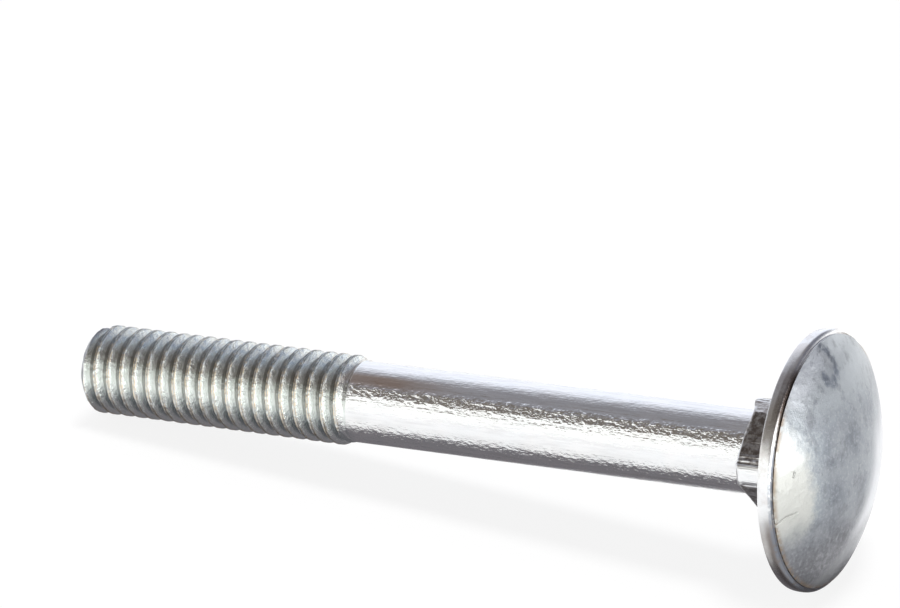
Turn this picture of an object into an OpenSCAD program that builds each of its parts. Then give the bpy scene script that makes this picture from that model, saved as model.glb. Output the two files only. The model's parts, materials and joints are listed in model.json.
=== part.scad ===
// Carriage bolt: a domed head, a square neck, a plain shank and a rolled thread, in one piece.
//
// Each feature is drawn about the bolt's own axis, with the bearing face under the head at
// z = 0, the head above it and the tip below. The finished bolt is then laid down as it rests
// on a flat surface, on the rim of its head and the first crest of its thread, with the head
// towards +X, its lowest points at Z = 0 and the origin under the middle of its box.

/* [Length] */
// Length from the bearing face under the head to the tip
length = 51.2; // [42:0.1:80]
// Length of the thread, run-out included
thread_length = 19.7; // [12:0.1:24]

/* [Head] */
// Outer diameter of the head
head_d = 16.1; // [13:0.1:18]
// Height of the head, from the bearing face to the top of the dome
head_h = 3.15; // [2.5:0.05:5]
// Height of the rim, from the bearing face to the foot of the dome
rim_h = 0.85; // [0.6:0.05:1.2]
// Bevel round the bearing face
rim_bevel = 0.22; // [0.1:0.01:0.3]
// Radial width of the bevel between the rim and the dome
dome_bevel = 0.14; // [0.05:0.01:0.3]

/* [Square neck] */
// Width of the neck across its flats
neck_w = 5.95; // [5.7:0.05:6.4]
// Width of the neck across its unfilled, round corners
neck_corner_d = 7.6; // [7:0.05:8]
// Length of the neck from the bearing face to its end
neck_length = 3.85; // [3:0.05:5]
// Length of the bevel that cuts the corners back at the neck's end
neck_bevel = 0.55; // [0.2:0.05:1]
// Height and width of the flare where the flats run into the bearing face
neck_flare = 0.45; // [0.2:0.05:0.8]
// Turn of the neck about the bolt's axis from corner up, in degrees
neck_turn = -2; // [-45:1:45]

/* [Shank] */
// Diameter of the plain shank, the blank that the thread is rolled on
shank_d = 5.24; // [5.1:0.01:5.5]

/* [Thread] */
// Diameter over the crests
thread_d = 5.82; // [5.7:0.01:6]
// Diameter at the roots
root_d = 4.7; // [4.5:0.01:4.9]
// Advance of the thread in one turn
pitch = 1; // [0.9:0.05:1.25]
// Share of the pitch that the flat crest takes
crest_share = 0.2; // [0.12:0.01:0.3]
// Share of the pitch that the flat root takes
root_share = 0.16; // [0.1:0.01:0.3]
// Length over which the thread fades out into the shank
runout = 1.3; // [0.8:0.05:2.5]
// Height of the bevel round the tip
tip_bevel = 0.45; // [0.2:0.05:0.8]
// Turn of the thread's start about the bolt's axis, in degrees
thread_turn = 0; // [0:5:355]

/* [Hidden] */
steel = "#b9c2c6";

// Facets round a whole turn: the curved solids, and the thread's columns
round_fn = 96;
columns = 36;

// Turn of the round head's seam about the axis, away from the line that the bolt rests on
seam_turn = 2;

// How far one solid reaches into the next, and how far the thread's last ring stays inside
// the shank's surface
reach = 0.3;
inset = 0.06;

head_r = head_d / 2;
shank_r = shank_d / 2;
thread_r = thread_d / 2;
root_r = root_d / 2;
dome_foot_r = head_r - dome_bevel;

// The dome is a cap of one sphere that passes through its foot and its top
dome_rise = head_h - rim_h;
dome_r = (dome_foot_r * dome_foot_r + dome_rise * dome_rise) / (2 * dome_rise);
dome_z = head_h - dome_r;

// At rest the rim's lower edge and a crest near the tip touch the surface
rest_span = length - tip_bevel + rim_bevel;
tilt = atan((head_r - thread_r) / rest_span);
rest_height = head_r * cos(tilt) - rim_bevel * sin(tilt);

// Ends of the box along X, with the bearing face's centre at X = 0
tip_r = thread_r - tip_bevel;
box_low_x = -length * cos(tilt) - tip_r * sin(tilt);
box_high_x = dome_z * cos(tilt) + dome_r;
box_middle_x = (box_low_x + box_high_x) / 2;

// The thread's form along one pitch: root, rising flank, crest, falling flank. Each row of
// points is a helix at one of these four corners of the form.
flank_share = (1 - crest_share - root_share) / 2;
corner_phase = [0, root_share, root_share + flank_share, 1 - flank_share];
corner_radius = [root_r, root_r, thread_r, thread_r];
rows = 4 * (ceil(thread_length / pitch) + 3);
// A row nearer than this to an end of the thread is drawn to it, so that no face is a sliver
snap = 0.08 * pitch;

// Radius of the thread's form at a share of its pitch
function form_radius(share) =
    lookup(share, [
        [0, root_r],
        [root_share, root_r],
        [root_share + flank_share, thread_r],
        [1 - flank_share, thread_r],
        [1, root_r]
    ]);

// Share of the pitch at a height above the tip, in a column
function share_at(height, column) =
    let (turns = height / pitch - column / columns)
    turns - floor(turns);

// A radius with the bevel at the tip and the fade into the shank applied
function trimmed(radius, height) =
    let (
        fade = min(1, max(0, (thread_length - height) / runout)),
        faded = (shank_r - inset) + (radius - shank_r + inset) * fade
    )
    min(faded, tip_r + max(0, height));

// Height of a row above the tip, in a column
function row_height(row, column) =
    pitch * (floor(row / 4) - 1 + corner_phase[row % 4] + column / columns);

// A point at a radius and a height above the tip, in a column
function thread_point(radius, height, column) =
    let (angle = 360 * column / columns)
    [radius * cos(angle), radius * sin(angle), height];

// Number of the point for a row and a column. Rows below the tip share the ring at the tip,
// rows past the thread's end share the ring inside the shank, and the last column is the
// first one a whole turn up.
function point_number(row, column) =
    column == columns ? point_number(row + 4, 0)
    : row_height(row, column) < snap ? column
    : row_height(row, column) > thread_length - snap ? columns + column
    : 2 * columns + row * columns + column;

// One triangle, or none where two of its corners are the same point
function triangle(a, b, c) = a == b || b == c || a == c ? [] : [[a, b, c]];

module head() {
    color(steel) rotate(seam_turn) {
        rotate_extrude($fn = round_fn)
            polygon([
                [0, 0],
                [head_r - rim_bevel, 0],
                [head_r, rim_bevel],
                [head_r, rim_h - dome_bevel],
                [dome_foot_r, rim_h],
                [0, rim_h]
            ]);
        intersection() {
            translate([0, 0, dome_z])
                sphere(r = dome_r, $fn = round_fn);
            translate([0, 0, rim_h - reach])
                cylinder(h = dome_rise + 2 * reach, r = dome_foot_r, $fn = round_fn);
        }
    }
}

// The square neck. A cylinder takes its corners, which the forging die leaves unfilled, and a
// cone cuts them back at its end.
module neck() {
    corner_r = neck_corner_d / 2;
    color(steel)
        rotate(45 + neck_turn)
            intersection() {
                union() {
                    translate([-neck_w / 2, -neck_w / 2, -neck_length])
                        cube([neck_w, neck_w, neck_length + reach]);
                    neck_flare();
                }
                union() {
                    translate([0, 0, -neck_length])
                        cylinder(h = neck_bevel, r1 = corner_r - neck_bevel, r2 = corner_r,
                            $fn = round_fn);
                    translate([0, 0, neck_bevel - neck_length])
                        cylinder(h = neck_length - neck_bevel - neck_flare, r = corner_r,
                            $fn = round_fn);
                    translate([0, 0, -neck_flare])
                        cylinder(h = neck_flare, r1 = corner_r, r2 = corner_r + neck_flare,
                            $fn = round_fn);
                    cylinder(h = reach, r = corner_r, $fn = round_fn);
                }
            }
}

// Four planes that widen the neck towards the bearing face
module neck_flare() {
    wide = neck_w + 2 * neck_flare;
    hull() {
        translate([-neck_w / 2, -neck_w / 2, -neck_flare])
            cube([neck_w, neck_w, neck_flare]);
        translate([-wide / 2, -wide / 2, 0])
            cube([wide, wide, reach]);
    }
}

module shank() {
    color(steel)
        translate([0, 0, thread_length - length])
            cylinder(h = length - thread_length, r = shank_r, $fn = round_fn);
}

// The rolled thread, a right-hand helix on a solid rod that reaches into the shank
module thread() {
    tip_ring = [
        for (column = [0 : columns - 1])
            thread_point(trimmed(form_radius(share_at(0, column)), 0), 0, column)
    ];
    shank_ring = [
        for (column = [0 : columns - 1])
            thread_point(shank_r - inset, thread_length + reach, column)
    ];
    helix = [
        for (row = [0 : rows - 1], column = [0 : columns - 1])
            let (height = row_height(row, column))
            thread_point(trimmed(corner_radius[row % 4], height), height, column)
    ];
    sides = [
        for (row = [0 : rows - 6], column = [0 : columns - 1])
            let (
                a = point_number(row, column),
                b = point_number(row, column + 1),
                c = point_number(row + 1, column + 1),
                d = point_number(row + 1, column)
            )
            each concat(triangle(a, c, b), triangle(a, d, c))
    ];
    tip_face = [for (column = [0 : columns - 1]) column];
    shank_face = [for (column = [columns - 1 : -1 : 0]) columns + column];
    color(steel)
        translate([0, 0, -length])
            rotate(thread_turn)
                polyhedron(
                    points = concat(tip_ring, shank_ring, helix),
                    faces = concat(sides, [tip_face], [shank_face])
                );
}

module bolt() {
    translate([-box_middle_x, 0, rest_height])
        rotate([0, 90 - tilt, 0]) {
            head();
            neck();
            shank();
            thread();
        }
}

bolt();
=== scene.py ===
# %% [markdown]
# # A zinc-plated carriage bolt
# A carriage bolt has a wide domed head, a square neck that bites into wood, a plain shank and
# a rolled thread. Here it lies on a pale table, on the rim of its head and the crests of its
# thread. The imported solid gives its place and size, and this script gives it its looks.

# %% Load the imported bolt
import json
import math

import bmesh
import bpy
from mathutils import Matrix, Vector, noise


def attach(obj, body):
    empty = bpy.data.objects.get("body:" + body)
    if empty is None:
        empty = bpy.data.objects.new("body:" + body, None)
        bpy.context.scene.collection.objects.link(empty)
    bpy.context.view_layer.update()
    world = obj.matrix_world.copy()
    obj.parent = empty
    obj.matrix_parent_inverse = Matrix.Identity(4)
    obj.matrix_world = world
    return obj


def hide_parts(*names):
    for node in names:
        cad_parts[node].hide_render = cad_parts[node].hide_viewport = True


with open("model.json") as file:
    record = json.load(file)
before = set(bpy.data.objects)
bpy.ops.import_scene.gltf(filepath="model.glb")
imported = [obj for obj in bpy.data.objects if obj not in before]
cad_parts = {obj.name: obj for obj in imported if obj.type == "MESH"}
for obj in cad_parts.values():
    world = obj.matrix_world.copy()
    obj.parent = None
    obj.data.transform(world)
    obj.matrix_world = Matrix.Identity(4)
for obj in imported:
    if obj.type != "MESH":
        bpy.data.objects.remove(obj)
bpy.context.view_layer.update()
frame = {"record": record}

# %% [markdown]
# ## The bolt's own axis
# A lathe or a die works about the bolt's own axis, so every form below is made upright, in
# millimetres: the face under the head is at z = 0, the head is above it and the tip below.
# One matrix then lays the finished bolt down. It comes from the record: the bearing face says
# where that axis starts and which way it points. Laid down, the bolt's own x points to the
# table, so up is minus x.

# %% Find the axis
MM = 0.001
mounts = {mount["name"]: mount for mount in frame["record"]["mounts"]}
bearing = mounts["bearing_face"]
along = -Vector(bearing["axis"]).normalized()
# The mount lies on the ring that bears, to one side of the axis
centre = Vector(bearing["pos_m"])
centre.y = 0.0
across = Vector((0, 1, 0))
down = across.cross(along)
turned = Matrix((down, across, along)).transposed()
lay_down = Matrix.Translation(centre) @ turned.to_4x4() @ Matrix.Scale(MM, 4)
print("axis rises", round(math.degrees(math.asin(along.z)), 3), "degrees")

# %% [markdown]
# ## Camera
# The camera looks down on the bolt from the front right, where its head is, from well away
# and with a long lens, so that the bolt is drawn almost without perspective.

# %% Set the camera
azimuth = 28.42
elevation = 24.14
camera_data = bpy.data.cameras.new("camera")
camera_data.lens = 196.35
camera_data.sensor_width = 36
camera = bpy.data.objects.new("camera", camera_data)
camera.location = (0.131821, -0.245524, 0.138064)
camera.rotation_euler = (math.radians(90 - elevation), 0, math.radians(azimuth))
bpy.context.scene.collection.objects.link(camera)
bpy.context.scene.camera = camera
print("camera", round(camera.location.length * 1000), "mm away")

# %% [markdown]
# ## Rolled thread
# Two dies squeeze the thread out of the rod: the metal flows up between their teeth and meets
# at the crest, where it leaves a shallow seam between two thin ridges. The grooves stay round
# and glossy. One pitch of this form is drawn as a chain of points from groove to groove, and
# a spin that climbs one pitch in a turn winds it into a right-hand helix. One turn is spun, and
# its copies, each a pitch higher, carry the helix on.

# %% Wind the thread
length = 51.2
thread_length = 19.95
pitch = 1.0
steps_per_turn = 90
spare_turns = 4
# Share of the pitch from the middle of the crest, and the radius there
half_form = [
    (0.02, 2.868), (0.06, 2.9), (0.095, 2.91), (0.125, 2.868), (0.17, 2.79),
    (0.25, 2.635), (0.33, 2.48), (0.39, 2.4), (0.45, 2.358), (0.5, 2.35),
]
form = [(-share, radius) for share, radius in reversed(half_form)] + half_form
# Where the first crest comes above the tip, in pitches
crest_middle = 0.58

thread = bmesh.new()
lowest = -length + (crest_middle - 2) * pitch
chain = [thread.verts.new((radius, 0, lowest + share * pitch)) for share, radius in form]
links = [thread.edges.new(pair) for pair in zip(chain, chain[1:])]
bmesh.ops.spin(
    thread, geom=chain + links, cent=(0, 0, 0), axis=(0, 0, 1),
    dvec=(0, 0, pitch / steps_per_turn), angle=math.tau, steps=steps_per_turn,
)
turns = int(thread_length / pitch) + spare_turns
one_turn = thread.verts[:] + thread.edges[:] + thread.faces[:]
for number in range(1, turns):
    copy = bmesh.ops.duplicate(thread, geom=one_turn)["geom"]
    copied = [item for item in copy if isinstance(item, bmesh.types.BMVert)]
    bmesh.ops.translate(thread, verts=copied, vec=(0, 0, number * pitch))
bmesh.ops.remove_doubles(thread, verts=thread.verts, dist=0.006)
print("wound", turns, "turns,", len(thread.faces), "faces")

# %% [markdown]
# ## The thread's two ends
# At the tip the rod was chamfered before it was rolled, so the first crest is low and ragged.
# Towards the shank the dies run out and the thread fades into the thinner blank. Both ends
# are cut square to the axis, and then each point's distance from the axis is brought in.

# %% Cut and fade the thread
shank_r = 2.62
tip_r = 2.46
crest_r = 2.91
run_out = 0.4
slant = 0.45
ragged_depth = 0.03
ridge_wander = 0.05
thread_top = thread_length - length


def cut_off(mesh, height, keep_above):
    """Cuts a bmesh level and drops what is above or below the cut."""
    bmesh.ops.bisect_plane(
        mesh, geom=mesh.verts[:] + mesh.edges[:] + mesh.faces[:], dist=0.002,
        plane_co=(0, 0, height), plane_no=(0, 0, 1),
        clear_inner=keep_above, clear_outer=not keep_above,
    )


def smooth(value, low, high):
    """0 below low, 1 above high, and a soft step between."""
    share = min(1.0, max(0.0, (value - low) / (high - low)))
    return share * share * (3 - 2 * share)


cut_off(thread, -length, True)
cut_off(thread, thread_top, False)
for vert in thread.verts:
    radius = math.hypot(vert.co.x, vert.co.y)
    height = vert.co.z + length
    # The crest's thin ridges are the ragged part
    ridge = smooth(radius, 2.83, 2.9)
    ragged = noise.noise(vert.co * Vector((1.6, 1.6, 9)))
    # The dies stop on a slant, a little lower on the side that lies down
    fade = smooth(thread_length - slant * smooth(vert.co.x, -0.5, 2.6) - height, 0, run_out)
    new = shank_r + (radius - shank_r) * fade - ragged_depth * ridge * abs(ragged)
    new = min(new, tip_r + 0.05 * noise.noise(vert.co * 2.1) + height, crest_r)
    vert.co.x *= new / radius
    vert.co.y *= new / radius
    if 0.05 < height < thread_length - 0.05:
        vert.co.z += ridge_wander * ridge * noise.noise(vert.co * 4.1 + Vector((7, 0, 0)))
print("thread from z =", -length, "to", round(thread_top, 2))

# %% [markdown]
# ## Shank
# The shank is the blank that the thread was rolled on, a little thinner than the thread. It
# grows out of the thread's upper end ring by ring. Drawing and tumbling leave it slightly
# wavy, by a few thousandths of a millimetre, which is enough to bend what it reflects.

# %% Helpers for open rings


def loop_at(mesh, height):
    """The open edges of a bmesh at a height."""
    return [
        edge for edge in mesh.edges
        if edge.is_boundary and all(abs(vert.co.z - height) < 0.01 for vert in edge.verts)
    ]


def next_ring(mesh, loop, height, scale=1.0):
    """Extrudes an open ring to a new height, scales it about the axis and returns it."""
    new = bmesh.ops.extrude_edge_only(mesh, edges=loop)["geom"]
    verts = [item for item in new if isinstance(item, bmesh.types.BMVert)]
    bmesh.ops.scale(mesh, verts=verts, vec=(scale, scale, 1))
    for vert in verts:
        vert.co.z = height
    chosen = set(verts)
    # A dict keeps its order, which a set of edges doesn't, so each run makes the same mesh
    around_ring = dict.fromkeys(edge for vert in verts for edge in vert.link_edges)
    return [e for e in around_ring if e.is_boundary and chosen.issuperset(e.verts)]


def close_ring(mesh, loop):
    """Closes an open ring with a fan of triangles about the axis."""
    cap = bmesh.ops.contextual_create(mesh, geom=loop)["faces"]
    bmesh.ops.poke(mesh, faces=cap)


# %% Draw the shank out of the thread
neck_length = 3.85
into_neck = 1.2
shank_top = into_neck - neck_length
rings = 80
wave_height = 0.007
ripple_height = 0.003

# The cut leaves some of its points close together. Each moves onto its neighbour before they
# are merged, because the merge alone may keep either one, and each run has to come out alike.
close_by = 0.06
cut_verts = list(dict.fromkeys(v for edge in loop_at(thread, thread_top) for v in edge.verts))
for number, vert in enumerate(cut_verts):
    for other in cut_verts[number + 1:]:
        if (other.co - vert.co).length < close_by:
            other.co = vert.co
bmesh.ops.remove_doubles(thread, verts=cut_verts, dist=0.001)
loop = loop_at(thread, thread_top)
for ring in range(1, rings + 1):
    loop = next_ring(thread, loop, thread_top + (shank_top - thread_top) * ring / rings)
close_ring(thread, loop)
for vert in thread.verts:
    if thread_top + 0.2 < vert.co.z < shank_top - 0.01:
        wave = noise.noise(vert.co * Vector((0.5, 0.5, 0.32)))
        ripple = noise.noise(vert.co * Vector((1.3, 1.3, 0.9)) + Vector((0, 0, 40)))
        radius = math.hypot(vert.co.x, vert.co.y)
        new = radius + wave_height * wave + ripple_height * ripple
        vert.co.x *= new / radius
        vert.co.y *= new / radius
print("shank reaches z =", shank_top)

# %% [markdown]
# ## Tip
# The blank was sheared off, so the end is a rough, slightly hollow disc inside the chamfer.

# %% Close the tip
# Each ring's size as a share of the one before, and its depth
hollow = [(0.9, 0.02), (0.8, 0.09), (0.75, 0.12), (0.7, 0.13), (0.6, 0.13), (0.5, 0.12)]
loop = loop_at(thread, -length)
for scale, depth in hollow:
    loop = next_ring(thread, loop, depth - length, scale)
close_ring(thread, loop)
for vert in thread.verts:
    if vert.co.z < 0.15 - length and math.hypot(vert.co.x, vert.co.y) < 2.0:
        vert.co.z += 0.03 * noise.noise(vert.co * 1.7)
        vert.co.z = max(vert.co.z, 0.002 - length)
bmesh.ops.recalc_face_normals(thread, faces=thread.faces)
open_edges = sum(edge.is_boundary for edge in thread.edges)
print("rod:", len(thread.faces), "faces, open edges:", open_edges)

# %% [markdown]
# ## Head
# The head is forged from the same wire. Its underside carries fine turned rings, its edge is
# rounded, and a thin step divides the low rim from the dome. Its half section is one chain of
# points, with the dome's arc made by a spin about the dome's own centre. A full spin about
# the bolt's axis makes the head.

# %% Draw the head's half section
head_r = 8.05
head_h = 3.15
rim_h = 0.85
dome_foot_r = 7.91
dome_rise = head_h - rim_h
dome_r = (dome_foot_r ** 2 + dome_rise ** 2) / (2 * dome_rise)
ring_count = 10
first_ring = 3.6
ring_step = 0.4
ring_half = 0.11
ring_depth = 0.03

# The turned rings, as far apart as the tool moved in one turn
section = [(0, 0), (3.3, 0)]
for number in range(ring_count):
    middle = first_ring + ring_step * number
    section += [(middle - ring_half, 0), (middle, ring_depth), (middle + ring_half, 0.002)]
# The rim's lower edge, its side, its round shoulder and the step at the dome's foot
section += [
    (7.9, 0), (7.985, 0.006), (8.018, 0.025), (8.033, 0.07), (8.042, 0.15), (head_r, 0.26),
    (head_r, 0.46), (8.042, 0.57), (8.015, 0.66), (7.97, 0.725), (7.91, 0.775),
    (7.85, 0.81), (7.795, 0.835), (7.755, 0.86), (7.738, 0.895),
]
print("section of", len(section), "points, dome radius", round(dome_r, 2))

# %% Turn the head
arc_steps = 36
round_steps = 192

head = bmesh.new()
corners = [head.verts.new((radius, 0, height)) for radius, height in section]
foot_r = 7.74
foot_z = head_h - dome_r + math.sqrt(dome_r ** 2 - foot_r ** 2)
foot = head.verts.new((foot_r, 0, foot_z))
for pair in zip(corners, corners[1:] + [foot]):
    head.edges.new(pair)
dome_angle = math.asin(foot_r / dome_r)
bmesh.ops.spin(
    head, geom=[foot], cent=(0, 0, head_h - dome_r), axis=(0, 1, 0), angle=-dome_angle,
    steps=arc_steps)
# The arc's last point goes exactly onto the axis
for vert in head.verts:
    if vert.co.z > 2 and vert.co.x < 1e-4:
        vert.co = (0, 0, vert.co.z)
bmesh.ops.spin(
    head, geom=head.verts[:] + head.edges[:], cent=(0, 0, 0), axis=(0, 0, 1),
    angle=math.tau, steps=round_steps, use_merge=True)
bmesh.ops.remove_doubles(head, verts=head.verts, dist=0.0005)
bmesh.ops.recalc_face_normals(head, faces=head.faces)
print("head:", len(head.faces), "faces")

# %% [markdown]
# ## Square neck
# The forging die doesn't quite fill the neck's four corners, so a turned form trims a square
# block: a cylinder takes the corners, a cone cuts them back at the end, and both widen into
# the head with a hollow fillet. Remeshing the result into small even squares lets the metal
# be worked like clay, for the die's lengthwise lines and the torn lumps at the corners.

# %% Helpers that turn a bmesh into an object and bake its modifiers


def as_object(mesh, name):
    """A new object, in the scene, with a copy of the bmesh."""
    data = bpy.data.meshes.new(name)
    mesh.to_mesh(data)
    thing = bpy.data.objects.new(name, data)
    bpy.context.scene.collection.objects.link(thing)
    return thing


def baked(thing):
    """The object's mesh with its modifiers applied, as a new bmesh. The object goes."""
    ready = thing.evaluated_get(bpy.context.evaluated_depsgraph_get())
    mesh = bmesh.new()
    mesh.from_mesh(ready.to_mesh())
    ready.to_mesh_clear()
    bpy.data.objects.remove(thing)
    return mesh


def combine(first, second, operation):
    """Cuts two closed bmeshes with each other and returns what is left as a new one."""
    whole = as_object(first, "whole")
    tool = as_object(second, "tool")
    cut = whole.modifiers.new("cut", "BOOLEAN")
    cut.operation = operation
    cut.solver = "MANIFOLD"
    cut.object = tool
    result = baked(whole)
    bpy.data.objects.remove(tool)
    return result


# %% Draw the square block, with its flats hollowed into the head
neck_w = 5.95
corner_r = 3.8
fillet = 0.7
into_head = 0.3
neck_turn = -2
arc = [math.radians(70 * step / 6) for step in range(7)]


def fillet_at(angle):
    """How far out and how high the hollow fillet is at an angle of its arc."""
    return fillet * (1 - math.cos(angle)), fillet * (math.sin(angle) / math.sin(arc[-1]) - 1)


neck = bmesh.new()
bmesh.ops.create_cube(neck, size=1)
bmesh.ops.scale(neck, verts=neck.verts, vec=(neck_w, neck_w, neck_length - fillet))
bmesh.ops.translate(neck, verts=neck.verts, vec=(0, 0, -(neck_length + fillet) / 2))
top = max(neck.faces, key=lambda face: face.calc_center_median().z)
width = neck_w
for angle in arc[1:] + [None]:
    top = bmesh.ops.extrude_discrete_faces(neck, faces=[top])["faces"][0]
    if angle is None:
        wider, height = width, into_head
    else:
        outwards, height = fillet_at(angle)
        wider = neck_w + 2 * outwards
    bmesh.ops.scale(neck, verts=top.verts, vec=(wider / width, wider / width, 1))
    for vert in top.verts:
        vert.co.z = height
    width = wider
bmesh.ops.recalc_face_normals(neck, faces=neck.faces)
corner_up = Matrix.Rotation(math.radians(45 + neck_turn), 3, "Z")
bmesh.ops.rotate(neck, verts=neck.verts, matrix=corner_up)
print("block:", len(neck.faces), "faces")

# %% Trim the block with a turned form
trim = bmesh.new()
outline = [(0, -3.6), (3.3, -3.6), (3.5, -3.52), (corner_r, -3.34)]
for angle in arc:
    outwards, height = fillet_at(angle)
    outline.append((corner_r + outwards, height))
outline += [(outline[-1][0], into_head + 0.01), (0, into_head + 0.01)]
points = [trim.verts.new((radius, 0, height)) for radius, height in outline]
for pair in zip(points, points[1:]):
    trim.edges.new(pair)
bmesh.ops.spin(
    trim, geom=trim.verts[:] + trim.edges[:], cent=(0, 0, 0), axis=(0, 0, 1),
    angle=math.tau, steps=96, use_merge=True)
bmesh.ops.remove_doubles(trim, verts=trim.verts, dist=0.0005)
bmesh.ops.recalc_face_normals(trim, faces=trim.faces)
neck = combine(neck, trim, "INTERSECT")
print("neck block:", len(neck.faces), "faces")

# %% Remesh the neck evenly
block = as_object(neck, "neck")
even = block.modifiers.new("even", "REMESH")
even.mode = "VOXEL"
even.voxel_size = 0.09
neck = baked(block)
neck.normal_update()
print("even neck:", len(neck.faces), "faces")

# %% [markdown]
# ## The neck's worn surface
# Forging leaves lines along the flats and scores beside each corner. At the neck's end, where
# the die closes, the corners are lumpy, and the uppermost one is torn past the end on its far
# side. Each point moves along its normal by a few noises, held back by masks of where it is,
# and a little smoothing rounds the squares off.

# %% Work the neck's surface
line_depth = 0.022
lump_height = 0.26
dent_depth = 0.03
mark_depth = 0.04

for vert in neck.verts:
    spot = vert.co.copy()
    radius = math.hypot(spot.x, spot.y)
    end = smooth(-spot.z, 2.7, 3.4)
    corner = smooth(radius, 3.35, 3.7)
    side = smooth(radius, 2.85, 2.95) * smooth(-spot.z, 0.15, 0.6)
    lines = noise.noise(spot * Vector((3.5, 3.5, 0.25))) * line_depth * side
    lumps = max(0.0, noise.noise(spot * 2.3 + Vector((3, 1, 9)))) * lump_height * end * corner
    hollows = noise.noise(spot * 1.4 + Vector((0, 5, 2))) * dent_depth * side
    # Degrees past the nearest corner
    angle = math.degrees(math.atan2(spot.y, spot.x))
    past_corner = abs((angle - (90 + neck_turn) + 45) % 90 - 45)
    beside = smooth(past_corner, 6, 8) * (1 - smooth(past_corner, 17, 22))
    beside *= smooth(-spot.z, 0.4, 0.8)
    marks = mark_depth * math.cos(math.radians(past_corner * 80)) * beside
    vert.co += vert.normal * (lines + lumps + hollows + marks)
    # The die filled the uppermost corner less than the others
    limit = 3.15 + 0.9 * smooth(spot.z, -0.9, 0.0) + 0.05 * noise.noise(spot * 1.9)
    vert.co.x = max(vert.co.x, -limit)
    # and squeezed it out past the neck's end on its far side
    torn = smooth(-spot.x, 2.3, 3.0) * smooth(-spot.z, 2.6, 3.6)
    vert.co.z += torn * (0.2 - 0.65 * smooth(spot.y, -1.1, 1.0))
all_axes = {"use_axis_x": True, "use_axis_y": True, "use_axis_z": True}
bmesh.ops.smooth_vert(neck, verts=neck.verts, factor=0.35, **all_axes)
end_verts = [vert for vert in neck.verts if vert.co.z < -3.25]
for _ in range(7):
    bmesh.ops.smooth_vert(neck, verts=end_verts, factor=0.5, **all_axes)
print("neck ends at z =", round(min(vert.co.z for vert in neck.verts), 2))

# %% [markdown]
# ## One piece of steel
# The three forms overlap inside, where nobody sees, and a boolean union drops what is hidden
# and leaves one closed skin. It is then laid down in its place.

# %% Join the bolt
bolt_mesh = combine(combine(thread, neck, "UNION"), head, "UNION")
bmesh.ops.remove_doubles(bolt_mesh, verts=bolt_mesh.verts, dist=0.0004)
bmesh.ops.dissolve_degenerate(bolt_mesh, edges=bolt_mesh.edges, dist=0.0002)
bmesh.ops.triangulate(bolt_mesh, faces=[f for f in bolt_mesh.faces if len(f.verts) > 4])
bmesh.ops.recalc_face_normals(bolt_mesh, faces=bolt_mesh.faces)
bmesh.ops.transform(bolt_mesh, matrix=lay_down, verts=bolt_mesh.verts)
open_edges = sum(not edge.is_manifold for edge in bolt_mesh.edges)
bolt = as_object(bolt_mesh, "bolt_in_zinc")
bolt.data.shade_smooth()
bolt.data.set_sharp_from_angle(angle=math.radians(38))
bolt.data.calc_loop_triangles()
print("bolt:", len(bolt.data.loop_triangles), "triangles, open edges:", open_edges)

# %% [markdown]
# ## Writing a finish as sums
# A procedural finish is mostly arithmetic on masks and noises. A mask says how much a spot
# belongs to a zone, from 0 to 1. The class Value wraps one socket of a node, so that a sum
# such as 1 - mask adds its Math node by itself, and the class Finish adds every other kind of
# node with one method.

# %% Value, for the arithmetic


class Value:
    """One output socket, ready for arithmetic."""

    def __init__(self, finish, socket):
        self.finish = finish
        self.socket = socket

    def __add__(self, other):
        return self.finish.math("ADD", self, other)

    def __sub__(self, other):
        return self.finish.math("SUBTRACT", self, other)

    def __rsub__(self, other):
        return self.finish.math("SUBTRACT", other, self)

    def __mul__(self, other):
        return self.finish.math("MULTIPLY", self, other)

    def __truediv__(self, other):
        return self.finish.math("DIVIDE", self, other)

    def __pow__(self, other):
        return self.finish.math("POWER", self, other)

    __radd__ = __add__
    __rmul__ = __mul__

    def smooth(self, low, high):
        """0 below low, 1 above high, and a soft step between."""
        return self.finish.add(
            "ShaderNodeMapRange", {"interpolation_type": "SMOOTHSTEP"},
            {"Value": self, "From Min": low, "From Max": high})

    def below(self, low, high):
        """1 below low, 0 above high, and a soft step between."""
        return 1 - self.smooth(low, high)

    def within(self, low, rise, fall, high):
        """1 from rise to fall, 0 below low and above high, and soft steps between."""
        return self.smooth(low, rise) * self.below(fall, high)


# %% Finish, for the nodes


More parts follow.
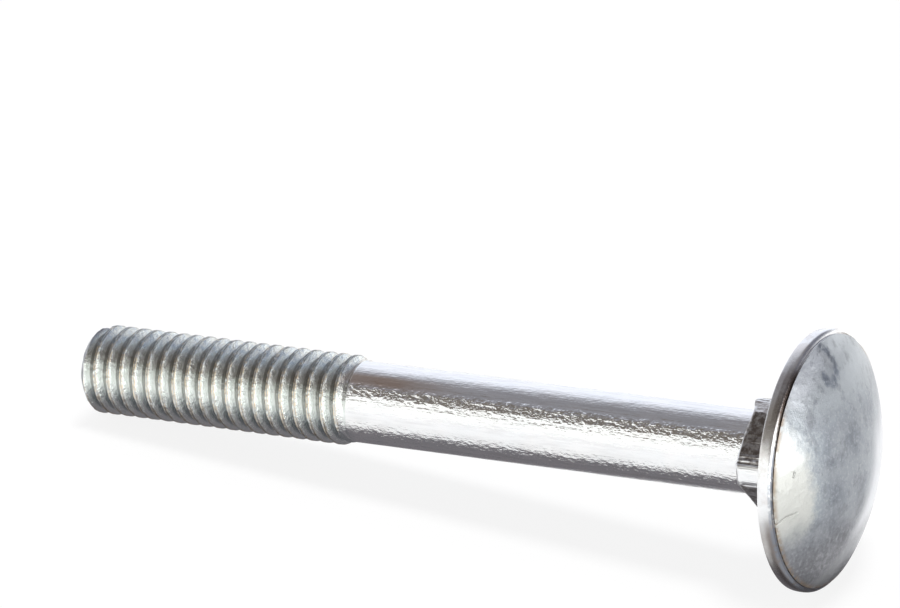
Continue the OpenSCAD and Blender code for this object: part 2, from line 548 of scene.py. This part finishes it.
class Finish:
    """A material, built node by node."""

    def __init__(self, tree):
        self.tree = tree
        tree.nodes.clear()

    def add(self, kind, settings, sockets, out=0):
        """Adds a node, with its settings first, then the values and links of its sockets."""
        node = self.tree.nodes.new(kind)
        for name, setting in settings.items():
            setattr(node, name, setting)
        for name, value in sockets.items():
            if isinstance(value, Value):
                self.tree.links.new(value.socket, node.inputs[name])
            else:
                node.inputs[name].default_value = value
        return Value(self, node.outputs[out]) if node.outputs else node

    def math(self, operation, *values):
        """A Math node's operation on numbers."""
        return self.add("ShaderNodeMath", {"operation": operation}, dict(enumerate(values)))

    def split(self, vector, axes="XYZ"):
        """The numbers that a vector is made of."""
        return [
            self.add("ShaderNodeSeparateXYZ", {}, {"Vector": vector}, out=axis) for axis in axes]

    def stretch(self, where, x, y, z):
        """A place times a number in each direction. A pattern is drawn out where it is small."""
        return self.add("ShaderNodeVectorMath", {"operation": "MULTIPLY"}, {
            0: where, 1: (x, y, z)})

    def noise(self, where, scale, detail=2.0, roughness=0.5, distortion=0.0):
        """A cloudy pattern between 0 and 1."""
        return self.add("ShaderNodeTexNoise", {}, {
            "Vector": where, "Scale": scale, "Detail": detail, "Roughness": roughness,
            "Distortion": distortion})

    def blend(self, share, first, second):
        """A colour between first, at a share of 0, and second, at 1."""
        first, second = (c if isinstance(c, Value) else (*c, 1.0) for c in (first, second))
        # The Mix node's colour sockets are its inputs 6 and 7 and its output 2
        return self.add("ShaderNodeMix", {"data_type": "RGBA"}, {
            0: share, 6: first, 7: second}, out=2)

    def tinted(self, colour, *tints):
        """A colour with tints laid over it in turn, each one a share and a colour."""
        for share, tint in tints:
            colour = self.blend(share, colour, tint)
        return colour


# %% [markdown]
# ## Zinc plate
# The bolt is plated bright blue-white zinc. The shank is almost a mirror with a fine hammered
# grain. Tumbling in the barrel left the dome satin, and its colour is painted darker, a painted
# shade. The grooves of the thread stay glossy, and its crests are worn to a warmer tone. The
# pattern is laid out in the bolt's own millimetres: a Mapping node undoes the laying down. From
# there, a spot's distance from the axis, its turn about it and its height tell which part it is
# on.

# %% Where on the bolt
plate_material = bpy.data.materials.new("zinc_plate")
plate_material.use_nodes = True
zinc = Finish(plate_material.node_tree)
where = zinc.add("ShaderNodeTexCoord", {}, {}, out="Object")
where = zinc.add("ShaderNodeMapping", {"vector_type": "TEXTURE"}, {
    "Vector": where, "Location": centre, "Rotation": turned.to_euler(), "Scale": (MM, MM, MM)})
x, y, z = zinc.split(where)
up = 0 - x
near = 0 - y
axis_r = (x * x + y * y) ** 0.5
# A whole turn about the axis goes from -0.5 to 0.5, and both ends are uppermost
around = zinc.math("ARCTAN2", y, x) / math.tau
from_top = 0.5 - zinc.math("ABSOLUTE", around)
# How far along the pitch a spot is: 0 on a crest's middle, 0.5 in the groove on its head side
along_pitch = zinc.math("FRACT", (z + length) / pitch - around - crest_middle + 20.0)

# %% Masks of the bolt's parts
on_head = z.smooth(-0.05, 0.0)
on_dome = z.smooth(0.88, 0.95)
on_rim = on_head * (1 - on_dome) * axis_r.smooth(7.7, 7.8)
# The neck's torn end stands a little past it, clear of the shank
torn_end = z.smooth(-4.5, -4.4) * axis_r.smooth(2.68, 2.74)
past_neck = z.below(-3.7, -3.6) * (1 - torn_end)
on_neck = (1 - past_neck) * (1 - on_head)
on_thread = z.below(thread_top - 1.0, thread_top + 0.4)
on_crest = on_thread * axis_r.smooth(2.84, 2.9)
on_flank = on_thread * (1 - on_crest)
in_groove = on_thread * along_pitch.within(0.33, 0.39, 0.55, 0.6)
in_seam = on_crest * (along_pitch.below(0.02, 0.06) + along_pitch.smooth(0.93, 0.97))
on_shank = (1 - on_thread) * past_neck
print("masks made:", len(zinc.tree.nodes), "nodes so far")

# %% [markdown]
# ## Colour
# Each zone gets its own tone, broken up by noises of different sizes: broad clouds for the
# plating, small stains on the dome, brown where a rim or a crest is worn. A tone is built up
# as a painter would, from a ground and thin tints over it, each with a mask as its share.

# %% Noises and the bare plate
clouds = zinc.noise(where, 0.45, 4.0, 0.55)
grain = zinc.noise(where, 5.0, 4.0, 0.6)
stains = zinc.noise(where, 1.1, 6.0, 0.65, 0.6).smooth(0.56, 0.68)
broken = zinc.noise(where, 2.4, 5.0, 0.7).smooth(0.36, 0.54)
flecks = zinc.noise(where, 3.3, 5.0, 0.75)
patchy = zinc.noise(where, 2.2, 5.0, 0.65)
streaks = zinc.noise(zinc.stretch(where, 3, 3, 0.35), 1.2, 5.0, 0.65)

bare, clouded = (0.87, 0.875, 0.87), (0.82, 0.85, 0.86)
tone = zinc.blend(0.5 * clouds.smooth(0.35, 0.65), bare, clouded)
tone = zinc.blend(0.35 * on_shank * streaks.smooth(0.4, 0.7), tone, (0.6, 0.6, 0.6))

# %% [markdown]
# ## The dome's finish
# Bolts rub each other in the tumbling barrel, so no two domes are alike. This one is satin, and
# its grey is painted darker than the zinc, a painted shade. Its near side has a painted highlight
# where the lamp's reflection also falls. Its top, the near side of its foot and its far edge have
# painted highlights, and its low side has painted shade with flecks in it. The dome is laid out
# flat: x goes down it and y away.

# %% Ground of the dome in painted shade, and the painted highlight on its near side
# The whole dome's ground is painted darker than the zinc, a painted shade
dome_tone = zinc.tinted(
    zinc.blend(clouds.smooth(0.35, 0.65), (0.3, 0.32, 0.34), (0.215, 0.235, 0.26)),
    (0.5 * stains, (0.13, 0.14, 0.16)),
    (0.45 * grain.smooth(0.45, 0.75), (0.46, 0.48, 0.5)),
)
# A painted highlight on the dome's near side, a lighter tone where the lamp's reflection falls,
# with a softer painted highlight round it
side_x = x + 1.5
inwards = 3.0 * clouds - 1.5 + 1.2 * grain - 0.6 - y - 0.05 * side_x * side_x
not_low = (x + 1.6 * clouds - 0.8).below(1.2, 3.6)
painted_near_highlight = inwards.smooth(4.3, 5.6) * not_low
painted_half_highlight = inwards.smooth(3.2, 4.9) * not_low
painted_highlight_tone = zinc.tinted(
    zinc.blend((x + clouds).smooth(-2.4, -1.2), (0.6, 0.62, 0.61), (0.53, 0.54, 0.51)),
    (0.45 * stains, (0.36, 0.38, 0.35)),
)
dome_tone = zinc.tinted(
    dome_tone,
    (0.4 * painted_half_highlight, (0.46, 0.51, 0.53)),
    (painted_near_highlight, painted_highlight_tone),
)

# %% A dark ring mark near the top of the dome
ring_x, ring_y = x + 6.7, y + 0.86
ring_r = (ring_x * ring_x + ring_y * ring_y) ** 0.5 + 0.5 * grain - 0.25
ring_mark = ring_r.within(0.6, 1.05, 1.12, 1.6) * (ring_y + 0.3 * ring_x).smooth(-0.5, 0.5)
end_x, end_y = x + 6.0, y + 1.3
ring_end = (end_x * end_x + 2.0 * end_y * end_y + 0.5 * grain - 0.25).below(0.0, 0.4)
ring_mark = (ring_mark + ring_end * (1 - ring_mark)) * (0.3 + 0.7 * broken)

# %% Top, foot, low side and far edge of the dome
# Painted highlight: the dome's upper part is painted lighter
painted_upper_light = (4.0 * clouds - 2.0 - x).smooth(2.8, 5.8)
# A painted highlight on the near side of the dome's foot, towards the top
painted_foot_light = axis_r.smooth(6.0, 7.3) * around.below(-0.405, -0.375) * up.smooth(0.0, 1.0)
# Painted shade on the dome's low side, with dark and light flecks in it
painted_low_shade = (x + 3.0 * clouds - 1.5).smooth(1.0, 5.0)
low_x, low_y = x - 4.9, y + 3.2
mottled = (low_x * low_x + low_y * low_y).below(0.5, 4.5) * zinc.noise(where, 2.6, 5.0, 0.7)
blots = zinc.noise(where, 0.8, 6.0, 0.7).smooth(0.5, 0.62) * (1 - painted_near_highlight)
# A painted sheen along the dome's far edge
to_far_edge = y + 0.2 * x + 0.11 * x * x + 0.6 * clouds - 0.3
painted_edge_sheen = to_far_edge.smooth(1.2, 3.6) * x.smooth(-3.0, 0.5) * (1 - 0.6 * x.smooth(3.8, 5.2))
dome_tone = zinc.tinted(
    dome_tone,
    (0.75 * painted_upper_light, (0.46, 0.49, 0.51)),
    # A paler painted highlight at the top of the dome
    (0.6 * up.smooth(6.2, 7.6), (0.76, 0.8, 0.82)),
    (0.58 * painted_foot_light, (0.8, 0.83, 0.86)),
    (0.8 * ring_mark, (0.11, 0.13, 0.17)),
    (0.12 * ring_r.below(0.5, 1.3), (0.15, 0.17, 0.21)),
    (0.85 * painted_low_shade, (0.155, 0.157, 0.168)),
    (0.5 * painted_low_shade * flecks.below(0.36, 0.5), (0.09, 0.09, 0.1)),
    (0.45 * painted_low_shade * flecks.smooth(0.53, 0.63), (0.42, 0.43, 0.44)),
    (0.3 * mottled.smooth(0.42, 0.6), (0.42, 0.43, 0.45)),
    (0.35 * blots, (0.12, 0.125, 0.14)),
    (0.85 * painted_edge_sheen, (0.6, 0.61, 0.63)),
)

# %% A scratch on the dome's near side
scratch_x = x - 0.62 - 0.28 * near.smooth(6.9, 7.7) + 0.12 * (grain - 0.5)
scratch = (scratch_x * scratch_x).below(0.001, 0.008) * near.smooth(6.1, 6.4)
dome_tone = zinc.blend(0.4 * scratch * (0.4 + 0.6 * broken), dome_tone, (0.2, 0.19, 0.17))
tone = zinc.blend(on_dome, tone, dome_tone)
print("dome toned:", len(zinc.tree.nodes), "nodes so far")

# %% [markdown]
# ## The thread's finish
# Rolling burnishes the thread, so it is brighter than the rest, with dark oil left in the seam
# of its crests and painted shade in the bottom of its grooves. Its crests are worn warm. Along
# the top its flanks carry a painted bluish reflection and its crests painted shade, and its
# flanks have painted shade on their upper side and below. The sheared tip is painted dark, with
# more painted shade on its lower side.

# %% Tones of the thread
# Painted shade on the crests along the top of the thread
top_crest_shade = on_crest * up.smooth(2.2, 2.5) * patchy.smooth(0.4, 0.5)
# Painted shade on the flanks' upper side
upper = on_flank * up.within(1.2, 1.8, 2.2, 2.6)
# The flanks below get painted shade, except the flank just off the crest, on its head side, which
# stays bright below
off_crest = along_pitch.within(0.07, 0.12, 0.22, 0.3)
lower = on_flank * x.smooth(-0.3, 1.3) * (1 - 0.85 * off_crest)
# Painted shade in the bottom of the grooves, away from the thread's end
groove_shade = in_groove * (thread_top - z).smooth(0.3, 0.8) * (0.4 + 0.6 * patchy)
specks = zinc.noise(where, 6.0, 4.0, 0.7).smooth(0.48, 0.56)
# The tip is painted dark, and its lower side darker still, a painted shade
at_tip = (z + length).below(0.25, 0.45)
tip_shade = at_tip * x.smooth(-1.4, 0.2)
tone = zinc.tinted(
    tone,
    (on_thread, (0.9, 0.935, 0.91)),
    (groove_shade, (0.1, 0.105, 0.08)),
    (0.35 * on_thread * patchy.smooth(0.5, 0.7), (0.6, 0.64, 0.6)),
    # A painted bluish reflection on the thread along the top
    (0.6 * on_thread * up.smooth(1.9, 2.7) * patchy.below(0.35, 0.6), (0.45, 0.56, 0.68)),
    (0.85 * on_crest * grain.smooth(0.4, 0.55), (0.8, 0.68, 0.48)),
    (0.8 * top_crest_shade, (0.13, 0.2, 0.25)),
    (0.5 * upper * (0.25 + 0.75 * patchy.smooth(0.35, 0.6)), (0.33, 0.29, 0.25)),
    (0.7 * lower, (0.34, 0.39, 0.4)),
    (in_seam * (0.4 + 0.6 * specks), (0.15, 0.12, 0.095)),
    (0.85 * at_tip, (0.14, 0.15, 0.19)),
    (tip_shade, (0.06, 0.065, 0.075)),
)

# %% [markdown]
# ## The rim's finish
# The rim takes the knocks. Its shoulder is worn through to brown on one stretch. It has painted
# shade where it lies down, it is dark in the step except near its top, and it is tinted brown
# above the step and blue-grey below it, away from the top.

# %% Tones of the rim
rim_wear = zinc.noise(where, 0.6, 4.0, 0.6).smooth(0.45, 0.62)
# Painted shade on the rim where it lies down
low_rim_shade = on_rim * (x + 2.0 * clouds - 1.0).smooth(-0.4, 2.0) * (0.6 + 0.4 * z.smooth(0.2, 0.6))
worn = on_head * (1 - on_dome) * z.smooth(0.3, 0.48) * around.within(-0.455, -0.42, -0.375, -0.345)
deeper = 0.48 + 0.3 * z.smooth(0.6, 0.74) + 0.17 * z.smooth(0.74, 0.82) + 0.5 * (grain - 0.5)
# The step is dark, except near the top
in_step = on_head * z.within(0.78, 0.83, 0.93, 0.965) * (0.6 + 0.4 * broken)
above_step = on_dome * axis_r.smooth(7.42, 7.74) * from_top.smooth(0.1, 0.14) * broken
below_step = on_rim * z.smooth(0.62, 0.76) * from_top.smooth(0.14, 0.2) * broken
tone = zinc.tinted(
    tone,
    (0.4 * on_rim * rim_wear, (0.5, 0.45, 0.42)),
    (low_rim_shade, (0.2, 0.18, 0.17)),
    (worn * deeper, (0.13, 0.095, 0.075)),
    (in_step * (0.08 + 0.87 * from_top.smooth(0.04, 0.09)), (0.07, 0.055, 0.045)),
    (0.7 * above_step, (0.25, 0.17, 0.1)),
    (0.55 * below_step, (0.2, 0.24, 0.3)),
)

# %% [markdown]
# ## The neck's and the shank's finish
# The neck's flats keep the die's scale and dirt, and only its corners, its end and the scores
# beside its corners are clean. The shank is clean all along, with a brown tint near the thread.

# %% Tones of the neck and the shank
neck_dirt = zinc.noise(where, 3.2, 5.0, 0.7).smooth(0.35, 0.6)
clean_corner = axis_r.smooth(3.6, 3.68) * up.below(2.0, 3.0)
clean_end = z.below(-3.5, -3.42) * up.below(1.6, 2.2)
# A quarter turn from one corner to the next counts as 1 here
quarters = zinc.math("FRACT", 4 * around + 4 * (315 - neck_turn) / 360)
past_corner = zinc.math("ABSOLUTE", quarters - 0.5)
die_lines = zinc.noise(zinc.stretch(where, 5, 5, 0.6), 1.0, 2.0, 0.5).smooth(0.5, 0.56)
scored = past_corner.within(0.06, 0.09, 0.17, 0.22) * die_lines
dirty = on_neck * (1 - clean_corner) * (1 - clean_end) * (1 - scored)
brown = on_shank * z.below(thread_top + 2, thread_top + 9) * up.within(1.8, 2.1, 2.3, 2.5)
tone = zinc.tinted(
    tone,
    (dirty * (0.45 + 0.5 * neck_dirt), (0.16, 0.135, 0.12)),
    (brown * (0.35 + 0.6 * clouds), (0.55, 0.36, 0.22)),
)
print("bolt toned:", len(zinc.tree.nodes), "nodes so far")

# %% [markdown]
# ## Gloss and grain
# Roughness and a little bump make the difference between the zones. The shank's grain is
# coarse along one line and almost gone above it. The bump's distance is in metres, so a grain
# of a few thousandths of a millimetre is a few millionths here.

# %% Gloss and grain of the plate
rough = 0.12 * on_shank + 0.16 * on_thread + 0.24 * on_rim + 0.3 * on_neck
rough = rough + (0.34 + 0.12 * grain) * on_dome + 0.2 * (1 - on_dome) * on_head * (1 - on_rim)

hammered = zinc.noise(zinc.stretch(where, 1, 1, 0.65), 3.9, 2.0, 0.55)
fine = zinc.noise(where, 14.0, 3.0, 0.6)
drawn = zinc.noise(zinc.stretch(where, 6, 6, 0.25), 2.0, 2.0, 0.5)
coarse = 0.55 + 1.2 * up.smooth(1.15, 1.5) + 0.5 * up.smooth(1.6, 1.85)
coarse = coarse - 1.9 * up.smooth(1.88, 2.12) + 0.8 * x.smooth(0.3, 0.9)
relief = hammered * (coarse * on_shank + 0.8 * on_thread)
relief = relief + fine * (0.1 + 0.15 * on_dome + 0.45 * on_thread)
relief = relief + drawn * (0.5 * on_neck + 0.2 * on_shank)
relief = relief + 0.7 * on_dome * zinc.noise(where, 1.6, 3.0, 0.5)

# %% Dents and the scratch on the dome


def dent(down_dome, across_dome, wide):
    """1 at a small slanted dent in the dome and 0 away from it."""
    off_x = x - down_dome + (y - across_dome) * 0.6
    off_y = y - across_dome + 0.5 * (grain - 0.5)
    return on_dome * (off_x * off_x + off_y * off_y * 3.0).below(0.0, wide * wide)


# How far down the dome, how far across it and how wide each dent is
dents = [(-1.8, -6.2, 0.2), (0.85, -3.65, 0.24), (3.75, -2.4, 0.3), (4.6, -1.2, 0.2)]
for sizes in dents:
    relief = relief - 0.8 * dent(*sizes)
relief = relief - 0.3 * scratch * on_dome

# %% Finish the bolt
bump = zinc.add("ShaderNodeBump", {}, {"Strength": 1.0, "Distance": 0.00006, "Height": relief})
# Where the tip's lower side is in painted shade, it is also less metallic
surface = zinc.add("ShaderNodeBsdfPrincipled", {}, {
    "Base Color": tone, "Metallic": 1 - 0.85 * tip_shade, "Roughness": rough, "Normal": bump})
zinc.add("ShaderNodeOutputMaterial", {}, {"Surface": surface})
bolt.data.materials.append(plate_material)
print("zinc plate:", len(zinc.tree.nodes), "nodes")

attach(bolt, "root")
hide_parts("bolt")

# %% [markdown]
# ## Table
# The bolt lies on a plain pale table that runs past every edge of the view. It sits a hair
# below the bolt, so that the two never share a surface. The camera sees it nearly white, with
# a faint shadow left. Bright metal shows whatever is round it, so the table is also what the
# lower half of the bolt looks like. For mirrored rays only, it has a painted shadow, a dark strip
# close under the bolt, and a painted light, an area behind the head that glows as if a lamp lit
# it.

# %% Lay the table
hair = 0.00002
table_mesh = bmesh.new()
bmesh.ops.create_grid(table_mesh, x_segments=1, y_segments=1, size=2.0)
bmesh.ops.translate(table_mesh, verts=table_mesh.verts, vec=(0, 0, -hair))
table = as_object(table_mesh, "table")

# %% Cover it with paper
white_share = 0.87
paper_material = bpy.data.materials.new("white_paper")
paper_material.use_nodes = True
paper = Finish(paper_material.node_tree)
seen = paper.add("ShaderNodeLightPath", {}, {}, out="Is Camera Ray")
mirrored = paper.add("ShaderNodeLightPath", {}, {}, out="Is Glossy Ray")
reach = paper.add("ShaderNodeLightPath", {}, {}, out="Ray Length")
table_place = paper.add("ShaderNodeTexCoord", {}, {}, out="Object")
table_x, table_y = paper.split(paper.stretch(table_place, 1 / MM, 1 / MM, 1 / MM), "XY")

# In millimetres on the table: a painted shadow in a strip under the bolt, and a painted light in
# an area behind its head
under = (table_y + 5.9 + 0.042 * (table_x + 7)).smooth(-1.2, 1.0) * table_y.below(1.5, 4.5)
under = under * table_x.within(-30, -27, 24, 28) * reach.below(0.01, 0.016)
behind = ((table_x - 26) / (table_y + 0.001)).below(0.1, 0.65)
behind = behind * table_y.smooth(3, 7) * table_x.smooth(-15, 12)

sheet = paper.add("ShaderNodeBsdfPrincipled", {}, {
    "Base Color": (0.9, 0.9, 0.9, 1), "Roughness": 0.9, "Specular IOR Level": 0.1})
white = paper.add("ShaderNodeEmission", {}, {"Color": (1, 1, 1, 1), "Strength": 1.0})
lit = paper.add("ShaderNodeEmission", {}, {"Color": (1, 1, 1, 1), "Strength": 1.7})
shade = paper.add("ShaderNodeEmission", {}, {"Color": (0.19, 0.18, 0.195, 1), "Strength": 1.0})
layers = [(mirrored * behind, lit), (mirrored * under, shade), (white_share * seen, white)]
for share, layer in layers:
    sheet = paper.add("ShaderNodeMixShader", {}, {0: share, 1: sheet, 2: layer})
paper.add("ShaderNodeOutputMaterial", {}, {"Surface": sheet})
table.data.materials.append(paper_material)
print("paper:", len(paper.tree.nodes), "nodes")

# %% [markdown]
# ## Light
# Metal shows its surroundings more than its own colour, so the room is a set of soft panels,
# cut out of the directions that a ray can look in. The room is dim overhead and white low
# down behind the bolt, on its left and in front below a slanted line: the edges of these
# panels are the edges of the shank's bright and dark bands. The camera sees plain white.

# %% Hang the room's panels
world = bpy.data.worlds.new("room")
world.use_nodes = True
bpy.context.scene.world = world
room = Finish(world.node_tree)
look_x, look_y, look_z = room.split(room.add("ShaderNodeTexCoord", {}, {}, out="Generated"))
seen = room.add("ShaderNodeLightPath", {}, {}, out="Is Camera Ray")

overhead = look_z.smooth(0.6, 0.78) * look_y.smooth(-0.35, -0.05)
low_behind = look_z.below(0.05, 0.22) * look_y.smooth(-0.2, 0.3)
left_behind = (look_z - 1.36 * look_y).below(-0.38, 0.5) * look_x.below(-0.3, 0.1)
left_behind = left_behind * look_y.smooth(0.0, 0.15)
on_left = look_x.below(-0.92, -0.76)
in_front = (look_z + 0.45 * look_y).below(0.0, 0.1) * look_y.below(-0.3, 0.0)
air = room.tinted(
    room.blend(look_y.smooth(-0.4, 0.4), (0.2, 0.175, 0.155), (0.19, 0.195, 0.24)),
    (overhead, (0.29, 0.285, 0.31)),
    (low_behind, (1.7, 1.7, 1.72)),
    (left_behind, (1.06, 1.09, 1.2)),
    (on_left, (1.05, 1.08, 1.15)),
    (in_front, (1.3, 1.3, 1.28)),
    (seen, (1.0, 1.0, 1.0)),
)
glow = room.add("ShaderNodeBackground", {}, {"Color": air, "Strength": 1.0})
room.add("ShaderNodeOutputWorld", {}, {"Surface": glow})
print("room:", len(room.tree.nodes), "nodes")

# %% [markdown]
# ## Lamps
# A wide soft sun lights the table and gives the bolt its shadow. In the bolt it would be a
# hard white spot, so glossy rays don't see it, and light thrown back by the metal, which
# would speckle the table, is off. One soft lamp beyond the head whitens the dome's near side.

# %% Set the lamps


def hang(name, kind, energy, towards, distance):
    """A lamp that shines at the origin from a direction."""
    data = bpy.data.lights.new(name, kind)
    data.energy = energy
    lamp = bpy.data.objects.new(name, data)
    lamp.location = towards * distance
    lamp.rotation_euler = towards.to_track_quat("Z", "Y").to_euler()
    bpy.context.scene.collection.objects.link(lamp)
    return lamp


sun = hang("sun", "SUN", 2.6, Vector((0.05, 0.18, 0.98)), 0)
sun.data.angle = math.radians(18)
sun.visible_glossy = False
lamp = hang("lamp", "AREA", 1.3, Vector((0.985, -0.08, 0.1)).normalized(), 0.5)
lamp.data.size = 0.35
bpy.context.scene.view_settings.view_transform = "Standard"
bpy.context.scene.cycles.caustics_reflective = False
print("lamps:", sun.name, lamp.name)
